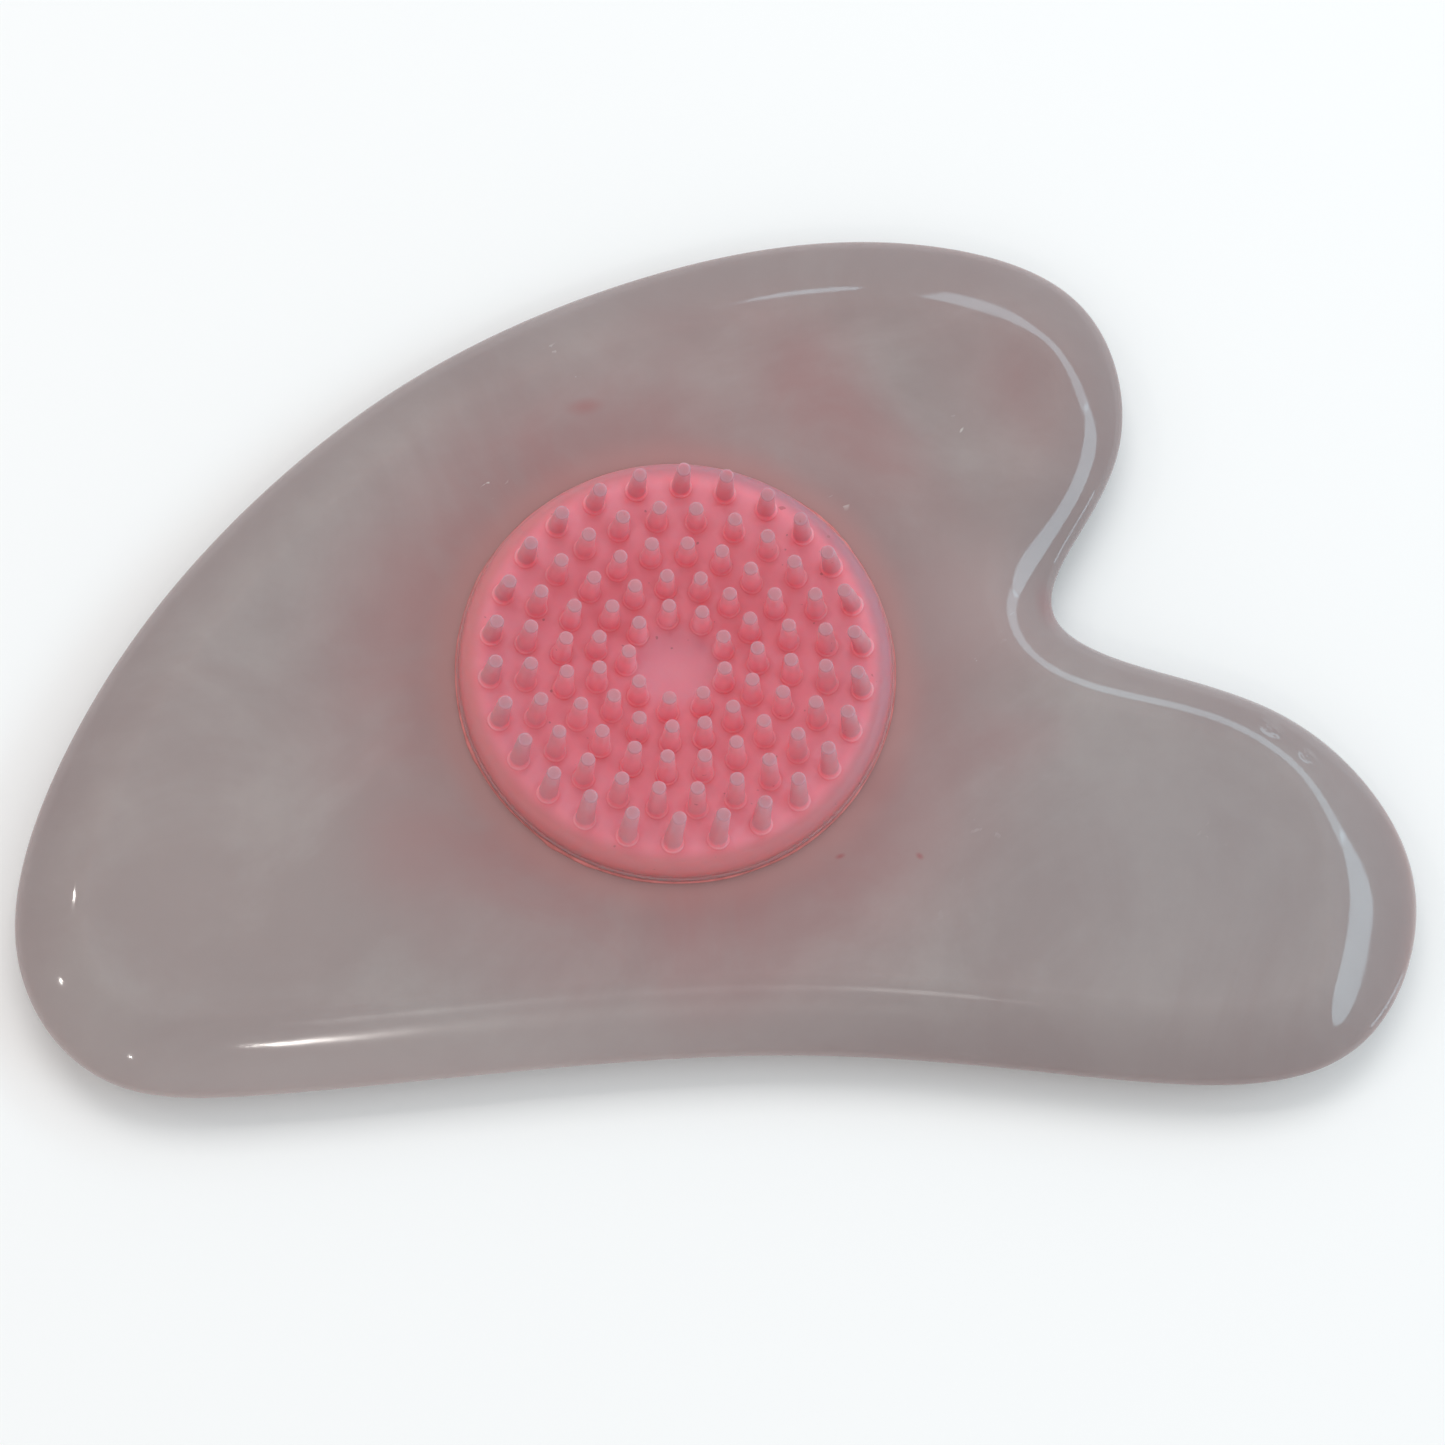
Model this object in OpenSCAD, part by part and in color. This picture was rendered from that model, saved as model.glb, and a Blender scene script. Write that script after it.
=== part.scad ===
// Gua sha scraper: a polished stone board with a round silicone brush pad glued into one face.
// Millimetres. The origin is on the pad's axis, on the board's flat back face. +X runs along the
// board towards its two lobes, +Y towards its long rounded back, and +Z out of the brush.

/* [Board] */
// Overall length, from the tail to the lower lobe
board_l = 111.5; // [104:0.5:120]
// Overall width, from the long back to the scraping edge
board_w = 73; // [68:0.5:78]
// Thickness between the two flat faces
board_t = 6.8; // [5.5:0.1:8]
// Width of the rounded edge, in plan
edge_w = 6; // [4.5:0.1:6.5]
// How far the rounding reaches in before it bends into the flat face, as a share of its width
edge_shoulder = 0.3; // [0.2:0.02:0.8]
// How high the rim's upright part reaches, as a share of half the thickness
edge_rise = 0.25; // [0.2:0.05:0.8]

/* [Pocket] */
// Radius of the round blind pocket
pocket_r = 15.2; // [14:0.1:16]
// Depth of the pocket
pocket_d = 3; // [2:0.1:4]

/* [Brush pad] */
// Radius of the lip that lies on the board
pad_r = 17.5; // [17:0.1:19]
// Height of the lip
lip_h = 0.5; // [0.3:0.05:0.8]
// Step from the lip in to the pad's side
lip_step = 0.2; // [0.1:0.05:0.4]
// Height of the dished face at the pad's centre, above the board
dish_z = 1.1; // [0.9:0.05:1.6]
// Spherical radius of the dished face
dish_r = 118; // [90:1:200]
// Radius of the pad's rounded rim
rim_r = 1.4; // [1:0.1:1.6]

/* [Bristles] */
// Length of a bristle in the innermost ring
bristle_in = 3.7; // [3:0.1:5]
// Length of a bristle in the outermost ring
bristle_out = 4.8; // [3.5:0.1:6]
// Radius at a bristle's root
root_r = 0.76; // [0.6:0.02:0.85]
// Radius at a bristle's tip
tip_r = 0.57; // [0.4:0.01:0.7]
// Radius of the small collar around each root
collar_r = 0.9; // [0.86:0.02:1]
// Height of the collar
collar_h = 0.22; // [0.15:0.01:0.4]

/* [Glue] */
// Gap that the glue fills around and under the pad's plug
glue_gap = 0.2; // [0.1:0.05:0.4]
// Thickness of the glue film under the lip
film_t = 0.1; // [0.05:0.05:0.2]
// Radius of the bead squeezed out around the lip
bead_r = 0.35; // [0.2:0.05:0.5]

/* [Hidden] */
$fn = 64;

// The net of the outline's closed cubic B-spline, clockwise from the tail's lower end
NET = [
    [-34, -34], [-46, -34], [-54.5, -21.5],
    [-48, -2.5], [-38, 12.5], [-22.5, 27], [-3.5, 36],
    [14, 40], [29.5, 38], [37, 32], [38.5, 20],
    [31.5, 10.5], [30, 5], [36.5, 1.5],
    [49.5, -1.5], [57.5, -9.5], [60.5, -19], [55.5, -31], [44.5, -34],
    [28.5, -32], [8.5, -30], [-15, -32]
];
// Length and width of the outline that this net gives before it is scaled
NET_L = 111.4;
NET_W = 72.9;
SPAN_STEPS = 6;
EDGE_STEPS = 8;

// Rings of bristles, from the centre out: how many, how far out, and where the first one stands
RING_N = [9, 15, 20, 24, 26];
RING_R = [4, 6.5, 9.2, 12.1, 14.9];
RING_START = [99.5, 97, 84.5, 97, 102];
TIP_ROUND = 0.12;

net_scale = [board_l / NET_L, board_w / NET_W];
net_n = len(NET);
outline_n = net_n * SPAN_STEPS;
pad_base = board_t + film_t;
rim_x = pad_r - lip_step - rim_r;
dish_c = board_t + dish_z + dish_r;
rim_z = dish_c - sqrt(pow(dish_r + rim_r, 2) - rim_x * rim_x);

function spline_point(a, b, c, d, t) =
    (pow(1 - t, 3) * a + (3 * pow(t, 3) - 6 * t * t + 4) * b
     + (-3 * pow(t, 3) + 3 * t * t + 3 * t + 1) * c + pow(t, 3) * d) / 6;

function spline_run(a, b, c, d, t) =
    (-pow(1 - t, 2) * a + (3 * t * t - 4 * t) * b + (-3 * t * t + 2 * t + 1) * c + t * t * d) / 2;

function net_at(i) = let (p = NET[i % net_n]) [p[0] * net_scale[0], p[1] * net_scale[1]];

// One point of the outline with its inward normal, as [x, y, nx, ny]
function outline_at(k) =
    let (i = floor(k / SPAN_STEPS), t = (k % SPAN_STEPS) / SPAN_STEPS,
         a = net_at(i), b = net_at(i + 1), c = net_at(i + 2), d = net_at(i + 3),
         p = spline_point(a, b, c, d, t), v = spline_run(a, b, c, d, t) / norm(spline_run(a, b, c, d, t)))
    [p[0], p[1], v[1], -v[0]];

// The rounded edge from the widest level up to the flat face: [inset, height above mid thickness]
function edge_at(t) =
    let (h = board_t / 2, u = 1 - t)
    [3 * u * t * t * edge_w * (1 - edge_shoulder) + pow(t, 3) * edge_w,
     3 * u * u * t * edge_rise * h + 3 * u * t * t * h + pow(t, 3) * h];

// A lens-edged slab on the outline, swept level by level from the back face to the front face
module slab() {
    outline = [for (k = [0 : outline_n - 1]) outline_at(k)];
    half = [for (s = [0 : EDGE_STEPS]) edge_at(s / EDGE_STEPS)];
    levels = concat([for (s = [EDGE_STEPS : -1 : 1]) [half[s][0], -half[s][1]]], half);
    level_n = len(levels);
    rings = [for (e = levels, p = outline)
        [p[0] + e[0] * p[2], p[1] + e[0] * p[3], board_t / 2 + e[1]]];
    back = len(rings);
    front = back + 1;
    top = (level_n - 1) * outline_n;
    sides = [for (j = [0 : level_n - 2], k = [0 : outline_n - 1])
        let (a = j * outline_n + k, b = j * outline_n + (k + 1) % outline_n)
        each [[a, b, b + outline_n], [a, b + outline_n, a + outline_n]]];
    caps = [for (k = [0 : outline_n - 1]) let (next = (k + 1) % outline_n)
        each [[back, next, k], [front, top + k, top + next]]];
    polyhedron(points = concat(rings, [[0, 0, 0], [0, 0, board_t]]), faces = concat(sides, caps));
}

module scraper_board() {
    color([0.80, 0.70, 0.69])
    difference() {
        slab();
        translate([0, 0, board_t - pocket_d]) cylinder(r = pocket_r, h = pocket_d + 1);
    }
}

// Half of the pad's section, turned about its axis
module pad_section() {
    tangent_x = rim_x * dish_r / (dish_r + rim_r);
    tangent_z = dish_c - sqrt(dish_r * dish_r - tangent_x * tangent_x);
    translate([0, board_t - pocket_d + glue_gap]) square([pocket_r - glue_gap, pocket_d]);
    translate([0, pad_base]) square([pad_r, lip_h]);
    translate([0, pad_base]) square([rim_x + rim_r, rim_z - pad_base]);
    translate([rim_x, rim_z]) circle(r = rim_r);
    difference() {
        translate([0, pad_base]) square([tangent_x, tangent_z - pad_base]);
        translate([0, dish_c]) circle(r = dish_r, $fn = 720);
    }
}

// One bristle standing square to the dished face, sunk a little into the pad
module bristle(radius, turn, length) {
    sink = 0.3;
    rotate([0, 0, turn]) translate([0, 0, dish_c]) rotate([0, -asin(radius / dish_r), 0])
    translate([0, 0, -dish_r]) {
        translate([0, 0, -sink]) cylinder(r = collar_r, h = sink + collar_h);
        translate([0, 0, collar_h]) cylinder(r1 = root_r, r2 = tip_r, h = length - collar_h - TIP_ROUND);
        translate([0, 0, length - TIP_ROUND]) cylinder(r1 = tip_r, r2 = tip_r - TIP_ROUND, h = TIP_ROUND);
    }
}

module brush_pad() {
    color([0.93, 0.50, 0.57]) {
        rotate_extrude($fn = 180) pad_section();
        for (ring = [0 : len(RING_N) - 1], k = [0 : RING_N[ring] - 1])
            bristle(RING_R[ring], RING_START[ring] - k * 360 / RING_N[ring],
                bristle_in + (bristle_out - bristle_in) * ring / (len(RING_N) - 1));
    }
}

// Clear glue: a cup around the plug, a film under the lip and a bead around the lip's foot
module glue_layer() {
    plug_r = pocket_r - glue_gap;
    color([0.92, 0.90, 0.90])
    rotate_extrude($fn = 180) {
        translate([0, board_t - pocket_d]) square([pocket_r, glue_gap]);
        translate([plug_r, board_t - pocket_d]) square([glue_gap, pocket_d + film_t]);
        translate([plug_r, board_t]) square([pad_r - plug_r, film_t]);
        intersection() {
            translate([pad_r, board_t]) circle(r = bead_r);
            translate([pad_r, board_t]) square([bead_r, bead_r]);
        }
    }
}

scraper_board();
brush_pad();
glue_layer();
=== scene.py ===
import math
import random

import bpy
import numpy as np
from mathutils import Matrix, Vector
from mathutils.geometry import delaunay_2d_cdt


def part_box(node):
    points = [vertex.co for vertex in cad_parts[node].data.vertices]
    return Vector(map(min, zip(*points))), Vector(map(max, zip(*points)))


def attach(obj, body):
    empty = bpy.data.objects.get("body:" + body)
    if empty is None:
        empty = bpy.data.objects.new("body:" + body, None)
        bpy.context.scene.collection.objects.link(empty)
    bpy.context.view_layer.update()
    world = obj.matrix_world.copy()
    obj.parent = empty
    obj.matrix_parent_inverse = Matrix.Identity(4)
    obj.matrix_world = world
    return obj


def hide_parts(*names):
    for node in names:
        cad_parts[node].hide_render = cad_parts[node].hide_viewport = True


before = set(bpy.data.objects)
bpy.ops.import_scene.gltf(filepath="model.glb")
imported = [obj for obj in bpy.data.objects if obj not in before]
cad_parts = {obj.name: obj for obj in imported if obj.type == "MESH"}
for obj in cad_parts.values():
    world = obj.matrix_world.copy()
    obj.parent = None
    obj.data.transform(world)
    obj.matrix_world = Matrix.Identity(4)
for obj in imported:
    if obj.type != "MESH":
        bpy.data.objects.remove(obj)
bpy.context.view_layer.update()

# Gua sha scraper: a cloudy pink quartz board with a round silicone brush pad glued into its face.
# Metres. The origin is on the pad's axis, at the board's flat back face.

MM = 0.001
BOARD, PAD, GLUE = "scraper_board", "brush_pad", "glue_layer"
BOARD_LOW, BOARD_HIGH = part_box(BOARD)
BOARD_T = BOARD_HIGH[2] - BOARD_LOW[2]
FACE_Z = BOARD_HIGH[2]
PAD_LOW, PAD_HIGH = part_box(PAD)
PAD_R = (PAD_HIGH[0] - PAD_LOW[0]) / 2

# The board's rounded edge and pocket, as in the CAD
EDGE_W = 6.0 * MM
EDGE_SHOULDER = 0.3
EDGE_RISE = 0.25
POCKET_R = 15.2 * MM
POCKET_D = 3.0 * MM

# Where hand polishing changed the edge: x, y and reach in mm, then extra width in mm and extra upright rim
POLISH = ((10, 40, 24, 1.8, 0.0), (30, 39, 15, 2.0, 0.0), (36, 15, 14, 0.6, 0.30), (44, 0, 20, -0.9, 0.35),
          (60, -18, 17, 2.1, -0.2))

# Marks in the stone, in mm: soft pink stains and small red spots, each as x, y, half length, half width,
# turn in degrees and strength, then clusters of flecks, and chips in the right lobe's edge
STAINS = ((12, 24, 12, 7, -52, 0.62), (17, 18, 10, 6, -40, 0.45), (-20, -14, 10, 6, 30, 0.25),
          (27, -6, 7, 4, 20, 0.25), (4, -27, 9, 4, 5, 0.25), (15.5, -9.5, 4.5, 3, 30, 0.35),
          (29, 25, 16, 10, -60, 0.35), (6, 31, 20, 7, 0, 0.25))
SPOTS = ((-7.2, 22.7, 2.1, 1.0, 8, 0.40), (30.4, 6.2, 1.4, 3.0, 10, 0.60), (12.8, -15.4, 0.6, 0.3, 20, 0.8),
         (19.1, -15.4, 0.5, 0.35, -40, 0.7))
FLECKS = ((-15, 16, 2.6, 2.0), (-7.4, 25.2, 2.0, 0.8), (-9.2, 28.0, 2.2, 0.7), (23.5, 21.0, 1.6, 1.6),
          (23.5, 1.2, 1.8, 1.4), (13.5, 14.5, 2.5, 1.0))
CHIPS = ((47.9, -4.6, 1.6, 0.9, -30), (50.6, -6.8, 1.3, 0.8, -40))

# How far the visual pieces stay inside the CAD's outline and tips
MARGIN = 0.05 * MM

# The pad's section
GLUE_GAP = 0.2 * MM
FILM_T = 0.1 * MM
LIP_H = 0.5 * MM
LIP_STEP = 0.2 * MM
DISH_Z = 1.1 * MM
DISH_R = 118.0 * MM
RIM_R = 1.4 * MM
BEAD_R = 0.35 * MM

# Bristles: how many in each ring, the ring's radius, and where its first bristle stands
RING_N = (9, 15, 20, 24, 26)
RING_R = tuple(r * MM for r in (4.0, 6.5, 9.2, 12.1, 14.9))
RING_START = (99.5, 97.0, 84.5, 97.0, 102.0)
BRISTLE_IN = 3.7 * MM
BRISTLE_OUT = 4.8 * MM
ROOT_R = 0.76 * MM
TIP_R = 0.57 * MM
COLLAR_R = 0.9 * MM
COLLAR_H = 0.22 * MM


# ---------------------------------------------------------------- mesh helpers

def mesh_object(name, points, faces, attributes=None):
    """A smooth-shaded mesh object with optional named values on its points."""
    mesh = bpy.data.meshes.new(name)
    mesh.from_pydata([tuple(p) for p in points], [], faces)
    for key, values in (attributes or {}).items():
        layer = mesh.attributes.new(key, "FLOAT", "POINT")
        layer.data.foreach_set("value", np.asarray(values, np.float32))
    mesh.polygons.foreach_set("use_smooth", [True] * len(mesh.polygons))
    mesh.set_sharp_from_angle(angle=math.radians(50))
    mesh.update()
    obj = bpy.data.objects.new(name, mesh)
    bpy.context.scene.collection.objects.link(obj)
    return obj


def ring_faces(first, second, count):
    """Quads between two rings of count points that start at these indices."""
    return [(first + k, first + (k + 1) % count, second + (k + 1) % count, second + k)
            for k in range(count)]


def rings_to_mesh(rings, close_start, close_end):
    """Points and faces of a skin over rings of equal length, closed at either end by a centre point."""
    count = len(rings[0])
    points = np.concatenate(rings)
    faces = []
    for j in range(len(rings) - 1):
        faces += ring_faces(j * count, (j + 1) * count, count)
    if close_start:
        centre = len(points)
        points = np.vstack([points, rings[0].mean(axis=0)])
        faces += [(centre, (k + 1) % count, k) for k in range(count)]
    if close_end:
        centre = len(points)
        last = (len(rings) - 1) * count
        points = np.vstack([points, rings[-1].mean(axis=0)])
        faces += [(centre, last + k, last + (k + 1) % count) for k in range(count)]
    return points, faces


def arc(cx, cz, radius, start, end, steps):
    """Points of an arc in a section, angles in degrees from the outward direction."""
    angles = np.radians(np.linspace(start, end, steps + 1))
    return [(cx + radius * math.cos(a), cz + radius * math.sin(a)) for a in angles]


def turned(section, segments):
    """Rings made by turning a section of (radius, height) points about Z."""
    angles = np.linspace(0, 2 * np.pi, segments, endpoint=False)
    return [np.stack([r * np.cos(angles), r * np.sin(angles), np.full(segments, z)], axis=1)
            for r, z in section]


# ---------------------------------------------------------------- the stone board

def board_outline():
    """The CAD board's outline at its widest level, as points sorted round the pad's axis."""
    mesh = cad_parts[BOARD].data
    co = np.empty(len(mesh.vertices) * 3)
    mesh.vertices.foreach_get("co", co)
    co = co.reshape(-1, 3)
    middle = (BOARD_LOW[2] + BOARD_HIGH[2]) / 2
    level = co[np.abs(co[:, 2] - middle) < 1e-6, :2]
    level = np.unique(np.round(level, 7), axis=0)
    return level[np.argsort(np.arctan2(level[:, 1], level[:, 0]))]


def closed_spline(points, per):
    """A smooth closed cubic spline through the points, with per samples for each span."""
    n = len(points)
    waves = 2 * np.pi * np.fft.fftfreq(n)
    net = np.fft.ifft(np.fft.fft(points, axis=0) / ((4 + 2 * np.cos(waves)) / 6)[:, None], axis=0).real
    before, after, beyond = np.roll(net, 1, 0), np.roll(net, -1, 0), np.roll(net, -2, 0)
    samples = []
    for t in np.arange(per) / per:
        samples.append(((1 - t) ** 3 * before + (3 * t ** 3 - 6 * t * t + 4) * net
                        + (-3 * t ** 3 + 3 * t * t + 3 * t + 1) * after + t ** 3 * beyond) / 6)
    return np.stack(samples, axis=1).reshape(-1, 2)


def edge_shape(outline):
    """The edge's width and rise at each point, varied a little where the board is polished by hand."""
    widths = np.full(len(outline), EDGE_W)
    rises = np.full(len(outline), EDGE_RISE)
    for x, y, reach, wider, rounder in POLISH:
        off = np.linalg.norm(outline / MM - (x, y), axis=1) / reach
        share = np.cos(np.pi / 2 * np.clip(off, 0, 1)) ** 2
        widths += wider * MM * share
        rises += rounder * share
    return widths, rises


def make_board():
    outline = closed_spline(board_outline(), 5)
    run = np.roll(outline, -1, 0) - np.roll(outline, 1, 0)
    run /= np.linalg.norm(run, axis=1)[:, None]
    inward = np.stack([-run[:, 1], run[:, 0]], axis=1)
    outline = outline + MARGIN * inward
    widths, rises = edge_shape(outline)
    count = len(outline)
    middle = (BOARD_LOW[2] + BOARD_HIGH[2]) / 2
    half = BOARD_T / 2

    def level(share, side):
        """The ring at this share of the edge curve: 0 at the rim, 1 at the flat face."""
        rest = 1 - share
        inset = (3 * rest * share ** 2 * (1 - EDGE_SHOULDER) + share ** 3) * widths
        height = (3 * rest ** 2 * share * rises + 3 * rest * share ** 2 + share ** 3) * half
        return np.column_stack([outline + inset[:, None] * inward, middle + side * height])

    def flat(share, z):
        return np.column_stack([crease * (1 - share) + POCKET_R * directions * share, np.full(count, z)])

    crease = outline + widths[:, None] * inward
    directions = crease / np.linalg.norm(crease, axis=1)[:, None]
    steps = np.linspace(0, 1, 29)
    shares = (0.03, 0.15, 0.4, 0.7, 1.0)
    back = [flat(s, BOARD_LOW[2]) for s in reversed(shares)] + [level(t, -1) for t in steps[:0:-1]]
    front = [level(t, 1) for t in steps] + [flat(s, FACE_Z) for s in shares]
    floor_ring = front[-1] - np.array([0, 0, POCKET_D])
    points, faces = rings_to_mesh(back + front + [floor_ring], True, True)
    thin = list(1 - steps)
    values = [0] * len(shares) + thin[:0:-1] + thin + [0] * (len(shares) + 1)
    rims = np.concatenate([np.repeat(values, count), [0, 0]])
    board = mesh_object("stone_board", points, faces, {"rim": rims})
    board.data.materials.append(stone_material())
    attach(board, "root")
    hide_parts(BOARD)
    return board


# ---------------------------------------------------------------- the silicone brush pad

DISH_C = FACE_Z + DISH_Z + DISH_R
PAD_BASE = FACE_Z + FILM_T
RIM_X = PAD_R - LIP_STEP - RIM_R
RIM_Z = DISH_C - math.sqrt((DISH_R + RIM_R) ** 2 - RIM_X ** 2)
SKIN_R = RIM_X + 0.36 * RIM_R
PAD_SEGMENTS = 240
FOOT_SEGMENTS = 24
FOOT_R = COLLAR_R + 0.08 * MM

# Where the outer ring's tips are pressed sideways: bearing and half width in degrees, then how far in mm
PUSHES = ((10, 42, -0.48, -0.24), (80, 48, 0.12, 0.30), (165, 50, -0.06, -0.36), (276, 62, 0.36, 0.08))


def skin_height(r):
    """The height of the pad's skin between bristles: the dish, then the rounded rim."""
    if r < RIM_X * DISH_R / (DISH_R + RIM_R):
        return DISH_C - math.sqrt(DISH_R ** 2 - r * r)
    return RIM_Z + math.sqrt(RIM_R ** 2 - (r - RIM_X) ** 2)


def pad_section():
    """The pad's outer section: plug, lip, side, and the rounded rim up to where the skin begins."""
    plug_r = POCKET_R - GLUE_GAP
    plug_z = FACE_Z - POCKET_D + GLUE_GAP
    soft = 0.1 * MM
    side_r = PAD_R - LIP_STEP
    lip_top = PAD_BASE + LIP_H
    section = [(0.01 * MM, plug_z), (plug_r - soft, plug_z)]
    section += arc(plug_r - soft, plug_z + soft, soft, -90, 0, 4)
    section += [(plug_r, PAD_BASE)]
    section += arc(PAD_R - soft, PAD_BASE + soft, soft, -90, 0, 4)
    section += arc(PAD_R - 2 * soft, lip_top - 2 * soft, 2 * soft, 0, 78, 6)
    section += [(side_r + 0.02 * MM, lip_top + 0.03 * MM), (side_r, lip_top + 0.12 * MM)]
    skin_angle = math.degrees(math.acos((SKIN_R - RIM_X) / RIM_R))
    return section + arc(RIM_X, RIM_Z, RIM_R, 0, skin_angle, 16)


def bristle_section(length):
    """A bristle's section from its foot up to its rounded tip, with a bead round its root.
    Returned with each point's painted light: up to 1 for a painted highlight on top of the bead, -1 for
    painted shade at the foot."""
    tip_round = 0.14 * MM
    bead = 0.13 * MM
    section = [(COLLAR_R + 0.015 * MM, 0.035 * MM)]
    section += arc(COLLAR_R - bead, COLLAR_H - bead, bead, 0, 80, 6)
    section += [(ROOT_R + 0.015 * MM, COLLAR_H + 0.03 * MM), (ROOT_R, COLLAR_H + 0.1 * MM)]
    for t in (0.25, 0.5, 0.75):
        z = COLLAR_H + t * (length - COLLAR_H - tip_round)
        section.append((ROOT_R + t * (TIP_R - ROOT_R), z))
    section += arc(TIP_R - tip_round, length - tip_round, tip_round, 5, 90, 7)
    section += [(0.25 * MM, length + 0.004 * MM), (0.02 * MM, length + 0.006 * MM)]
    # Painted shade at the foot, then a painted highlight on top of the bead
    collar_painted_light = [-1.0, 0.0, 0.6, 1.0, 1.0, 1.0, 0.8, 0.4]
    return section, collar_painted_light + [0.0] * (len(section) - len(collar_painted_light))


def push_at(azimuth):
    """How far the tips of the outer ring have been pressed out of true at this bearing, in metres."""
    push = np.zeros(2)
    for centre, width, dx, dy in PUSHES:
        off = abs((azimuth - centre + 180) % 360 - 180)
        if off < width:
            push += math.cos(math.pi / 2 * off / width) ** 2 * np.array([dx, dy]) * MM
    return push


def bristle_stands():
    """Every bristle as (place matrix, length, push of its tip)."""
    stands = []
    draw = random.Random(7)
    last = len(RING_N) - 1
    for ring, (count, radius, first) in enumerate(zip(RING_N, RING_R, RING_START)):
        length = BRISTLE_IN + (BRISTLE_OUT - BRISTLE_IN) * ring / last - MARGIN
        for k in range(count):
            azimuth = first - k * 360 / count
            place = (Matrix.Rotation(math.radians(azimuth), 4, "Z") @ Matrix.Translation((0, 0, DISH_C))
                     @ Matrix.Rotation(-math.asin(radius / DISH_R), 4, "Y")
                     @ Matrix.Translation((0, 0, -DISH_R)))
            push = np.array([draw.gauss(0, 0.05), draw.gauss(0, 0.05)]) * MM
            if ring == last:
                push += push_at(azimuth)
            stands.append((np.array(place), length, push))
    return stands


def pad_skin(stands, rim_ring):
    """The dished skin as (points, triangles), with a round hole at each bristle's foot.
    The rim's ring comes first in its points, then each foot's ring."""
    centres = np.array([place[:2, 3] for place, _, _ in stands])
    angles = np.linspace(0, 2 * np.pi, FOOT_SEGMENTS, endpoint=False)
    feet = [centre + FOOT_R * np.column_stack([np.cos(angles + turn), np.sin(angles + turn)])
            for centre, turn in zip(centres, [math.atan2(p[1, 0], p[0, 0]) for p, _, _ in stands])]
    flat = [rim_ring[:, :2]] + feet
    loops = []
    start = 0
    for ring in flat:
        loops += [(start + k, start + (k + 1) % len(ring)) for k in range(len(ring))]
        start += len(ring)
    step = 0.8 * MM
    rows = int(SKIN_R / step) + 1
    filler = []
    for i in range(-rows, rows + 1):
        for j in range(-rows, rows + 1):
            spot = np.array([(i + 0.5 * (j % 2)) * step, j * step * 0.866])
            clear = np.linalg.norm(centres - spot, axis=1).min() > FOOT_R + 0.2 * MM
            if clear and np.linalg.norm(spot) < SKIN_R - 0.3 * MM:
                filler.append(spot)
    flat = np.vstack(flat + [np.array(filler)])
    found = delaunay_2d_cdt([Vector(p / MM) for p in flat], loops, [], 0, 1e-6)
    spots = np.array([tuple(p) for p in found[0]]) * MM
    triangles = []
    for face in found[2]:
        middle = spots[list(face)].mean(axis=0)
        if np.linalg.norm(centres - middle, axis=1).min() > 0.985 * FOOT_R:
            triangles.append(tuple(face))
    heights = [skin_height(np.linalg.norm(p)) for p in spots]
    return np.column_stack([spots, heights]), triangles


def make_pad():
    """One moulding: the turned body, the dished skin and the bristles share their points."""
    body_rings = turned(pad_section(), PAD_SEGMENTS)
    body, faces = rings_to_mesh(body_rings, True, False)
    stands = bristle_stands()
    skin, triangles = pad_skin(stands, body_rings[-1])
    rim_start = (len(body_rings) - 1) * PAD_SEGMENTS

    def index(n):
        return rim_start + n if n < PAD_SEGMENTS else len(body) - PAD_SEGMENTS + n

    points = [body, skin[PAD_SEGMENTS:]]
    faces += [tuple(index(n) for n in face) for face in triangles]
    total = len(body) + len(skin) - PAD_SEGMENTS
    rises = [np.zeros(total)]
    collar_painted_lights = [np.zeros(total)]
    for number, (place, length, push) in enumerate(stands):
        section, collar_painted_light = bristle_section(length)
        shape, walls = rings_to_mesh(turned(section, FOOT_SEGMENTS), False, True)
        rise = np.clip(shape[:, 2] / length, 0, 1)
        shape = shape @ place[:3, :3].T + place[:3, 3]
        shape[:, :2] += rise[:, None] ** 1.5 * push
        foot = index(PAD_SEGMENTS + number * FOOT_SEGMENTS)
        # Painted shade on the skin's ring round each bristle's foot
        collar_painted_lights[0][foot:foot + FOOT_SEGMENTS] = -1.0
        faces += ring_faces(foot, total, FOOT_SEGMENTS)
        faces += [tuple(i + total for i in face) for face in walls]
        points.append(shape)
        rises.append(rise)
        collar_painted_lights.append(np.append(np.repeat(collar_painted_light, FOOT_SEGMENTS), 0.0))
        total += len(shape)
    values = {"rise": np.concatenate(rises), "collar_painted_light": np.concatenate(collar_painted_lights)}
    pad = mesh_object("silicone_brush", np.vstack(points), faces, values)
    pad.data.materials.append(silicone_material())
    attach(pad, "root")
    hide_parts(PAD)
    return pad


# ---------------------------------------------------------------- the glue

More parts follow.
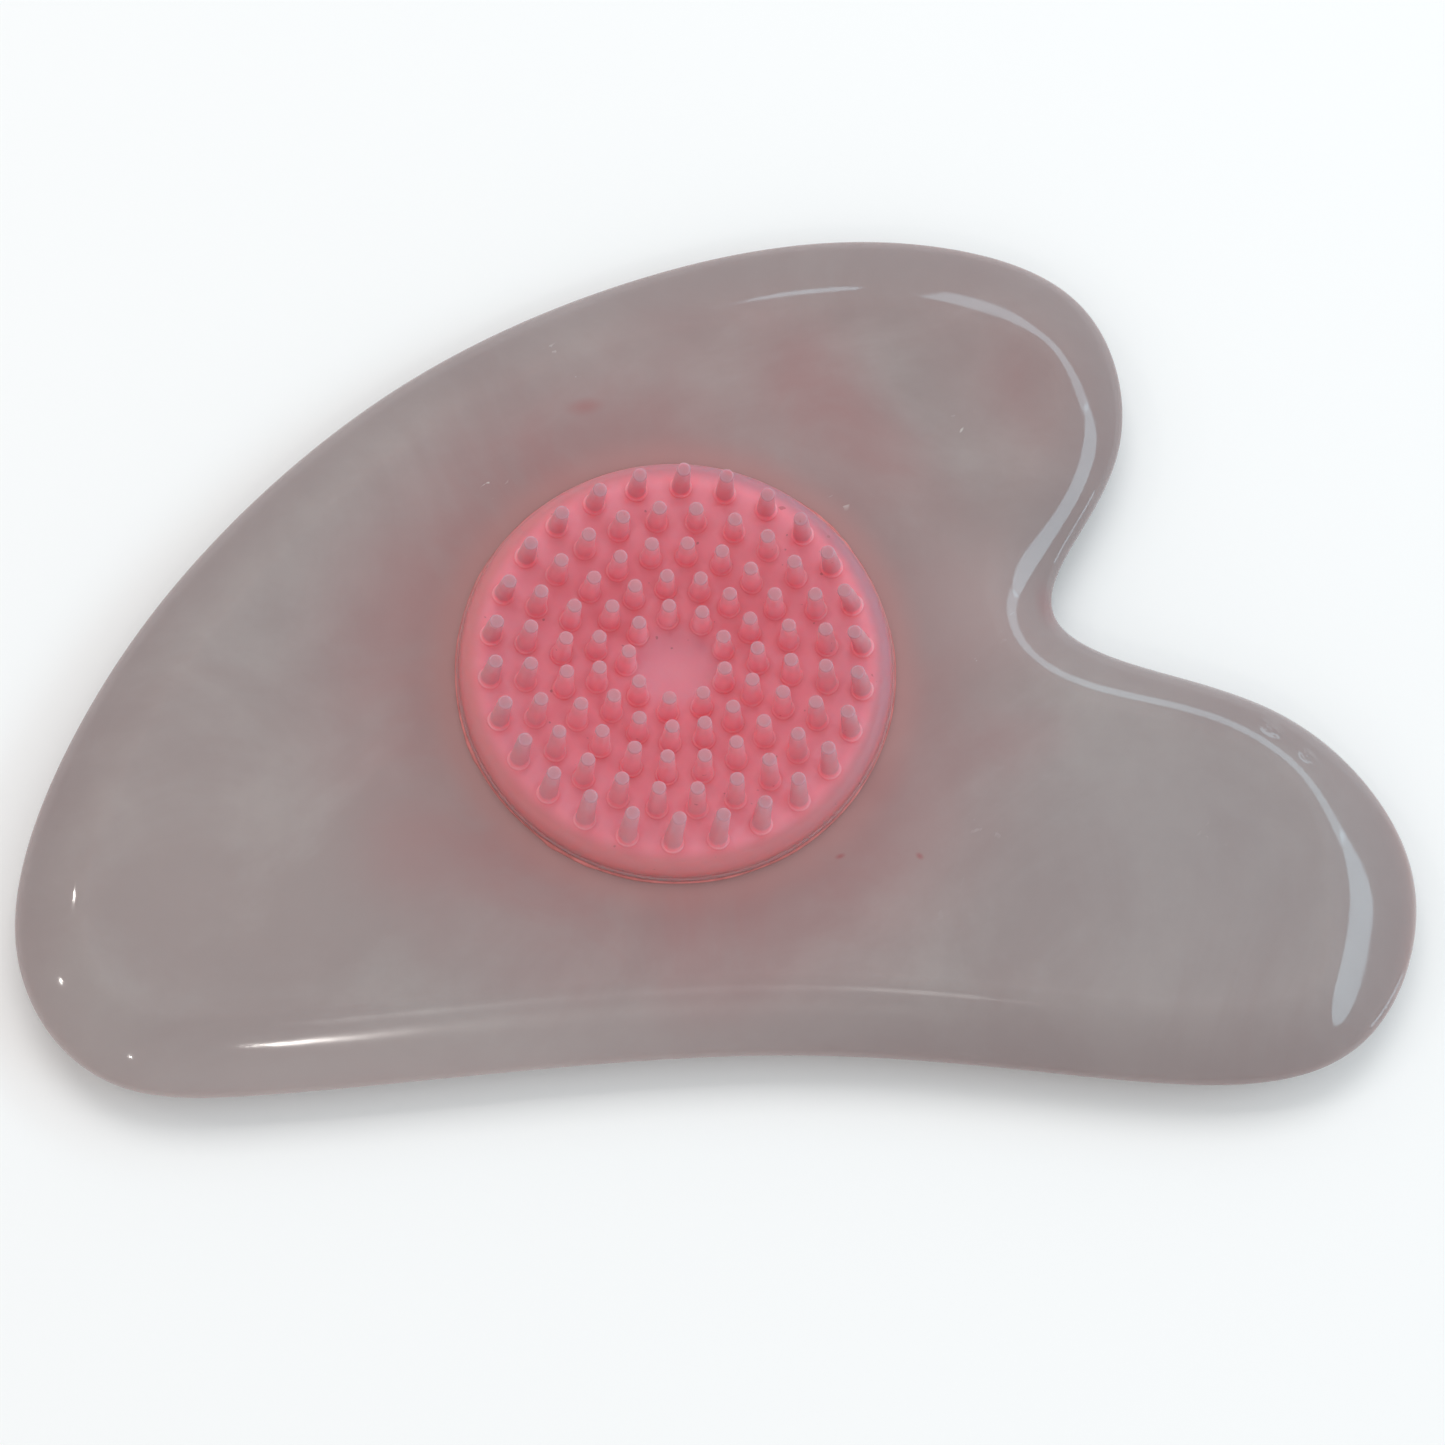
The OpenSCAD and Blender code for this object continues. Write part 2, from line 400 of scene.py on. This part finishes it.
def make_glue():
    """The uneven clear bead round the lip, joined to the film and cup that hold the pad."""
    segments = 360
    angles = np.linspace(0, 2 * np.pi, segments, endpoint=False)
    swell = 0.42 + 0.06 * np.sin(7 * angles + 2.1) + 0.05 * np.sin(17 * angles)
    for bearing, spread, more in ((44, 9, 0.42), (203, 4, 0.40), (236, 4, 0.42), (245, 3, 0.35)):
        off = np.degrees(np.abs(np.angle(np.exp(1j * (angles - math.radians(bearing))))))
        swell += more * np.exp(-(off / spread) ** 2) * (0.8 + 0.2 * np.sin(60 * angles))
    rings = []

    def plain(r, z):
        rings.append(np.column_stack([r * np.cos(angles), r * np.sin(angles), np.full(segments, z)]))

    cup_z = FACE_Z - POCKET_D
    plain(0.01 * MM, cup_z + 0.01 * MM)
    plain(POCKET_R - 0.01 * MM, cup_z + 0.01 * MM)
    plain(POCKET_R - 0.01 * MM, FACE_Z + 0.01 * MM)
    for a in np.radians(np.linspace(0, 90, 7)):
        r = PAD_R + 0.002 * MM + BEAD_R * 0.98 * swell * math.cos(a)
        z = FACE_Z + 0.004 * MM + BEAD_R * 0.98 * swell * math.sin(a)
        rings.append(np.column_stack([r * np.cos(angles), r * np.sin(angles), z]))
    plain(POCKET_R - GLUE_GAP + 0.01 * MM, FACE_Z + FILM_T - 0.01 * MM)
    plain(POCKET_R - GLUE_GAP + 0.01 * MM, cup_z + GLUE_GAP - 0.01 * MM)
    plain(0.01 * MM, cup_z + GLUE_GAP - 0.01 * MM)
    points, faces = rings_to_mesh(rings, True, True)
    glue = mesh_object("clear_glue", points, faces)
    glue.data.materials.append(glue_material())
    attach(glue, "root")
    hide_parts(GLUE)
    return glue


# ---------------------------------------------------------------- materials

class Nodes:
    """Short calls that add shader nodes to one material."""

    def __init__(self, name):
        self.material = bpy.data.materials.new(name)
        self.material.use_nodes = True
        self.tree = self.material.node_tree
        self.shader = self.tree.nodes["Principled BSDF"]
        self.place = self.add("ShaderNodeTexCoord").outputs["Object"]

    def add(self, kind, **settings):
        node = self.tree.nodes.new(kind)
        for key, value in settings.items():
            setattr(node, key, value)
        return node

    def feed(self, socket, value):
        if isinstance(value, bpy.types.NodeSocket):
            self.tree.links.new(value, socket)
        else:
            socket.default_value = value

    def set(self, name, value):
        self.feed(self.shader.inputs[name], value)

    def moved(self, location=(0, 0, 0), turn=0.0, scale=(1, 1, 1)):
        """The object's own coordinates, shifted, turned about Z (degrees) and scaled."""
        shift = self.add("ShaderNodeMapping", vector_type="TEXTURE")
        self.feed(shift.inputs["Vector"], self.place)
        self.feed(shift.inputs["Location"], location)
        self.feed(shift.inputs["Rotation"], (0, 0, math.radians(turn)))
        self.feed(shift.inputs["Scale"], scale)
        return shift.outputs["Vector"]

    def noise(self, scale, detail=4.0, roughness=0.55, distortion=0.0, vector=None):
        node = self.add("ShaderNodeTexNoise")
        self.feed(node.inputs["Vector"], self.place if vector is None else vector)
        self.feed(node.inputs["Scale"], scale)
        self.feed(node.inputs["Detail"], detail)
        self.feed(node.inputs["Roughness"], roughness)
        self.feed(node.inputs["Distortion"], distortion)
        return node.outputs["Fac"]

    def calc(self, operation, a, b=0.0, clamp=False):
        node = self.add("ShaderNodeMath", operation=operation, use_clamp=clamp)
        self.feed(node.inputs[0], a)
        self.feed(node.inputs[1], b)
        return node.outputs[0]

    def ramp(self, value, low, high, out_low=0.0, out_high=1.0):
        node = self.add("ShaderNodeMapRange", interpolation_type="SMOOTHSTEP")
        for key, item in zip(("Value", "From Min", "From Max", "To Min", "To Max"),
                             (value, low, high, out_low, out_high)):
            self.feed(node.inputs[key], item)
        return node.outputs["Result"]

    def mix(self, share, a, b, blend="MIX"):
        node = self.add("ShaderNodeMix", data_type="RGBA", blend_type=blend)
        self.feed(node.inputs["Factor"], share)
        for socket, value in ((node.inputs[6], a), (node.inputs[7], b)):
            self.feed(socket, value if isinstance(value, bpy.types.NodeSocket) else (*value, 1.0))
        return node.outputs[2]

    def length(self, vector):
        node = self.add("ShaderNodeVectorMath", operation="LENGTH")
        self.feed(node.inputs[0], vector)
        return node.outputs["Value"]

    def blob(self, x, y, long, wide, turn=0.0, depth=20.0, fade=0.0):
        """A soft patch, 1 inside and 0 outside, at x, y with these half sizes in millimetres."""
        space = self.moved((x * MM, y * MM, FACE_Z), turn, (long * MM, wide * MM, depth * MM))
        return self.ramp(self.length(space), 1.0, fade)

    def bump(self, height, strength, distance, normal=None):
        node = self.add("ShaderNodeBump")
        self.feed(node.inputs["Height"], height)
        self.feed(node.inputs["Strength"], strength)
        self.feed(node.inputs["Distance"], distance)
        if normal is not None:
            self.feed(node.inputs["Normal"], normal)
        return node.outputs["Normal"]

    def attribute(self, name):
        return self.add("ShaderNodeAttribute", attribute_name=name).outputs["Fac"]


def stone_material():
    """Cloudy quartz: grey-mauve ground, pale veils, pink stains, fine flecks and a wet polish."""
    n = Nodes("cloudy_quartz")
    clouds = n.noise(42.0, 6.0, 0.58, 0.9)
    veils = n.noise(1.0, 5.0, 0.6, 0.7, n.moved(turn=27.0, scale=(1 / 26.0, 1 / 44.0, 1 / 40.0)))
    mottle = n.noise(300.0, 5.0, 0.65)
    colour = n.mix(n.ramp(clouds, 0.36, 0.68), (0.300, 0.242, 0.238), (0.350, 0.305, 0.298))
    colour = n.mix(n.ramp(veils, 0.50, 0.72, 0.0, 0.60), colour, (0.395, 0.348, 0.338))
    colour = n.mix(n.ramp(mottle, 0.35, 0.70, 0.0, 0.18), colour, (0.262, 0.218, 0.217))

    # Painted glow: the pad's pink light spread through the stone, painted into its colour, and the stains
    # beside it
    away = n.length(n.moved(scale=(1, 1, 1000)))
    patches = n.noise(75.0, 4.0, 0.6, 0.8)
    glow = n.ramp(away, 34 * MM, 14 * MM)
    glow = n.calc("MULTIPLY", glow, n.ramp(patches, 0.25, 0.75, 0.55, 1.15), True)
    side = n.length(n.moved((18 * MM, 11 * MM, 0), scale=(1, 1, 1000)))
    glow = n.calc("MULTIPLY", glow, n.ramp(side, 6 * MM, 34 * MM, 0.52, 1.0))
    colour = n.mix(glow, colour, (0.335, 0.165, 0.166))
    # A brighter pink ring hugging the pad, painted glow as well
    colour = n.mix(n.ramp(away, 21 * MM, 17 * MM, 0.0, 0.8), colour, (0.445, 0.226, 0.220))
    for x, y, long, wide, turn, share in STAINS:
        stain = n.calc("MULTIPLY", n.blob(x, y, long, wide, turn), n.ramp(patches, 0.3, 0.7, 0.6, 1.0))
        colour = n.mix(n.calc("MULTIPLY", stain, share), colour, (0.330, 0.150, 0.152))
    colour = n.mix(n.calc("MULTIPLY", n.blob(26, 6, 10, 9), 0.45), colour, (0.420, 0.325, 0.322))
    for x, y, long, wide, turn, share in SPOTS:
        spot = n.calc("MULTIPLY", n.blob(x, y, long, wide, turn), share)
        colour = n.mix(spot, colour, (0.330, 0.095, 0.100))

    # The tail is paler and the right lobe greyer. The rim is painted darker and pinker, and paler along the
    # lower edge: painted shade and painted reflection that even out how light falls on the rounded edge
    colour = n.mix(n.calc("MULTIPLY", n.blob(-38, -16, 32, 24), 0.32), colour, (0.400, 0.340, 0.326))
    colour = n.mix(n.calc("MULTIPLY", n.blob(46, -14, 34, 28), 0.5), colour, (0.300, 0.270, 0.275))
    rim = n.attribute("rim")
    lower = n.blob(-26, -34, 60, 24)
    rim_painted_light = n.mix(lower, (0.270, 0.216, 0.218), (0.460, 0.395, 0.388))
    colour = n.mix(n.ramp(rim, 0.0, 0.7, 0.0, 0.55), colour, rim_painted_light)

    # Flecks: short bright cracks, in clusters
    fleck_noise = n.noise(1.0, 2.0, 0.5, 0.6, n.moved(turn=35.0, scale=(1 / 800.0, 1 / 1500.0, 1 / 900.0)))
    fleck = n.ramp(fleck_noise, 0.66, 0.72)
    cluster = n.ramp(n.noise(60.0, 2.0, 0.5), 0.68, 0.74, 0.0, 0.2)
    for x, y, long, wide in FLECKS:
        cluster = n.calc("MAXIMUM", cluster, n.blob(x, y, long, wide))
    fleck = n.calc("MULTIPLY", fleck, cluster)
    colour = n.mix(n.calc("MULTIPLY", fleck, 0.7), colour, (0.62, 0.58, 0.56))
    n.set("Base Color", colour)

    n.set("Subsurface Weight", 0.5)
    n.set("Subsurface Radius", (1.0, 0.75, 0.70))
    n.set("Subsurface Scale", 3.5 * MM)
    n.set("IOR", 1.54)
    wear = n.ramp(n.noise(150.0, 5.0, 0.7), 0.3, 0.8, 0.05, 0.10)
    n.set("Roughness", n.calc("ADD", wear, n.calc("MULTIPLY", n.blob(-6, -27, 36, 9, 0), 0.15)))
    waves = n.noise(55.0, 2.0, 0.4)
    normal = n.bump(waves, 0.20, 0.6 * MM)
    normal = n.bump(n.noise(900.0, 4.0, 0.6), 0.03, 0.1 * MM, normal)
    normal = n.bump(fleck, 0.4, 0.05 * MM, normal)
    chips = n.calc("MAXIMUM", *(n.blob(*chip) for chip in CHIPS))
    normal = n.bump(n.calc("MULTIPLY", chips, n.noise(1100.0, 2.0, 0.5)), 0.8, 0.25 * MM, normal)
    n.set("Normal", normal)
    return n.material


# The bristles' painted light up their height, on one pink silicone: shafts greyer towards the tips for
# light through them, tip faces darker against the light they catch, inner rings lighter than outer ones for
# light the silicone lets in. Where each starts and is full, then on inner and outer rings
BRISTLE_PAINTED_TONES = ((0.04, 0.20, (0.86, 0.390, 0.450), (0.53, 0.265, 0.305)),
                 (0.45, 0.88, (0.68, 0.365, 0.415), (0.48, 0.300, 0.345)),
                 (0.93, 0.99, (0.40, 0.240, 0.278), (0.355, 0.236, 0.272)))


def silicone_material():
    """Soft matte pink silicone, painted paler and greyer towards the bristles' tips for light through them,
    with painted shade and highlight round their feet and painted light and shade on the pad's edge.
    """
    n = Nodes("pink_silicone")
    rise = n.attribute("rise")
    collar_painted_light = n.attribute("collar_painted_light")
    tone = n.noise(120.0, 3.0, 0.5)
    colour = n.mix(n.ramp(tone, 0.3, 0.7), (0.88, 0.285, 0.350), (0.93, 0.315, 0.385))
    away = n.length(n.moved(scale=(1, 1, 1000)))
    # The open centre is painted darker, painted shade against the extra light it gets
    colour = n.mix(n.ramp(away, 4.4 * MM, 2.4 * MM), colour, (0.76, 0.285, 0.355))
    # Painted shade on the pad's rounded rim, bluer and darker towards the upper right as a painted sheen of
    # the windows
    side = n.length(n.moved((14 * MM, 10 * MM, 0), scale=(1, 1, 1000)))
    rim = n.mix(n.ramp(side, 6 * MM, 32 * MM), (0.420, 0.205, 0.250), (0.580, 0.205, 0.222))
    colour = n.mix(n.ramp(away, 15.2 * MM, 16.6 * MM), colour, rim)
    # Painted shade: a darker, redder ring round each bristle's foot
    colour = n.mix(n.ramp(collar_painted_light, 0.0, -1.0, 0.0, 0.22), colour, (0.74, 0.190, 0.230))
    # The lip painted a brighter red: painted light that lifts the shade where it meets the stone
    colour = n.mix(n.ramp(away, 16.9 * MM, 17.4 * MM), colour, (0.70, 0.200, 0.208))
    outer = n.ramp(away, 9 * MM, 15.5 * MM)
    for start, full, inner_tone, outer_tone in BRISTLE_PAINTED_TONES:
        colour = n.mix(n.ramp(rise, start, full), colour, n.mix(outer, inner_tone, outer_tone))
    # Painted highlight: a pale crescent on the bead round each bristle's root
    colour = n.mix(n.ramp(collar_painted_light, 0.2, 1.0, 0.0, 0.40), colour, (0.90, 0.420, 0.460))
    dust = n.ramp(n.noise(1500.0, 1.0, 0.4), 0.76, 0.80, 0.0, 0.5)
    colour = n.mix(dust, colour, (0.30, 0.12, 0.13))
    n.set("Base Color", colour)
    n.set("Subsurface Weight", 1.0)
    n.set("Subsurface Radius", (1.0, 0.16, 0.19))
    n.set("Subsurface Scale", 4.4 * MM)
    n.set("IOR", 1.43)
    n.set("Roughness", n.ramp(n.noise(800.0, 3.0, 0.6), 0.3, 0.7, 0.36, 0.48))
    n.set("Normal", n.bump(n.noise(2600.0, 3.0, 0.6), 0.12, 0.05 * MM))
    return n.material


def glue_material():
    """Cured glue with a lumpy, glossy skin, clear in life but painted pink-red and mostly opaque: painted
    light from the pad that covers the shade at the lip.
    """
    n = Nodes("cured_glue")
    # Painted light: the pink of the pad's glow seen through the glue, laid over the shade where the lip
    # meets the stone
    n.set("Base Color", n.mix(n.noise(400.0), (0.70, 0.200, 0.195), (0.76, 0.260, 0.250)))
    n.set("Alpha", n.ramp(n.noise(520.0, 2.0, 0.6), 0.35, 0.70, 0.60, 0.95))
    n.set("IOR", 1.42)
    n.set("Roughness", n.ramp(n.noise(900.0), 0.3, 0.7, 0.05, 0.2))
    n.set("Normal", n.bump(n.noise(1400.0, 3.0, 0.6), 0.8, 0.12 * MM))
    return n.material


def floor_material():
    n = Nodes("pale_floor")
    n.set("Base Color", n.mix(n.noise(3.0), (0.90, 0.90, 0.90), (0.92, 0.92, 0.92)))
    n.set("Roughness", n.ramp(n.noise(8.0), 0.3, 0.7, 0.7, 0.8))
    return n.material


# ---------------------------------------------------------------- stage, light and camera

def make_floor():
    size = 3.0
    corners = [(-size, -size, 0), (size, -size, 0), (size, size, 0), (-size, size, 0)]
    floor = mesh_object("floor", [(x, y, z - 0.02 * MM) for x, y, z in corners], [(0, 1, 2, 3)])
    floor.data.materials.append(floor_material())


SKY = (0.62, 0.88, 1.0)
WARM = (1.0, 0.95, 0.90)
KEY = (1.0, 0.985, 0.975)

# Windows and small lamps that the stone mirrors: name, bearing from +X and height angle in degrees,
# distance, width and height in metres, radiance, colour and shape
LAMPS = (
    ("window_right", -4, 34, 1.2, 1.15, 0.29, 2.85, SKY, "ELLIPSE"),
    ("window_low", -14, 4, 1.2, 0.40, 0.10, 3.0, SKY, "RECTANGLE"),
    ("window_back", 50, 35, 1.2, 0.96, 0.17, 2.9, SKY, "RECTANGLE"),
    ("window_far", 88, 32, 1.2, 0.10, 0.07, 2.6, SKY, "ELLIPSE"),
    ("lamp_front", 267.7, 50, 1.0, 0.054, 0.020, 60.0, WARM, "ELLIPSE"),
    ("strip_front", 273.5, 65, 1.0, 0.10, 0.07, 2.8, (1.0, 0.98, 0.96), "RECTANGLE"),
    ("lamp_left", 159, 45, 1.0, 0.02, 0.05, 70.0, WARM, "ELLIPSE"),
    ("spark_west", -171, 30, 1.0, 0.018, 0.024, 60.0, WARM, "ELLIPSE"),
    ("spark_south", -123, 36, 1.0, 0.024, 0.016, 60.0, WARM, "ELLIPSE"),
)


def area_light(name, azimuth, elevation, distance, width, height, radiance, colour,
               shape="RECTANGLE"):
    """A flat lamp that faces the board, placed by its bearing from +X and its height angle, in degrees."""
    data = bpy.data.lights.new(name, "AREA")
    data.shape = shape
    data.size, data.size_y = width, height
    data.energy = radiance * math.pi * width * height
    data.color = colour
    lamp = bpy.data.objects.new(name, data)
    a, e = math.radians(azimuth), math.radians(elevation)
    aim = Vector((math.cos(e) * math.cos(a), math.cos(e) * math.sin(a), math.sin(e)))
    lamp.location = aim * distance
    lamp.rotation_euler = aim.to_track_quat("Z", "Y").to_euler()
    lamp.visible_camera = False
    bpy.context.scene.collection.objects.link(lamp)
    return lamp


def make_lights():
    world = bpy.data.worlds.new("room")
    world.use_nodes = True
    background = world.node_tree.nodes["Background"]
    background.inputs["Color"].default_value = (*KEY, 1.0)
    background.inputs["Strength"].default_value = 0.68
    bpy.context.scene.world = world
    key = area_light("key", 95, 56, 1.1, 0.8, 0.5, 2.8, KEY)
    key.visible_glossy = False
    for lamp in LAMPS:
        area_light(*lamp)


CAMERA_AT = (-10.67 * MM, -94.48 * MM, 292.44 * MM)
CAMERA_BEARING, CAMERA_ELEVATION, CAMERA_ROLL = -9.04, 72.28, 8.62
CAMERA_LENS = 93.85


def make_camera():
    """The view from about 300 mm away, leaning 18 degrees back from straight above, and rolled."""
    data = bpy.data.cameras.new("view")
    data.sensor_width = 36.0
    data.lens = CAMERA_LENS
    data.clip_start = 0.01
    camera = bpy.data.objects.new("view", data)
    turn = (Matrix.Rotation(math.radians(CAMERA_BEARING), 4, "Z")
            @ Matrix.Rotation(math.radians(90 - CAMERA_ELEVATION), 4, "X")
            @ Matrix.Rotation(math.radians(CAMERA_ROLL), 4, "Z"))
    camera.matrix_world = Matrix.Translation(CAMERA_AT) @ turn
    bpy.context.scene.collection.objects.link(camera)
    bpy.context.scene.camera = camera


bpy.context.scene.view_settings.view_transform = "Standard"
make_camera()
make_board()
make_pad()
make_glue()
make_floor()
make_lights()
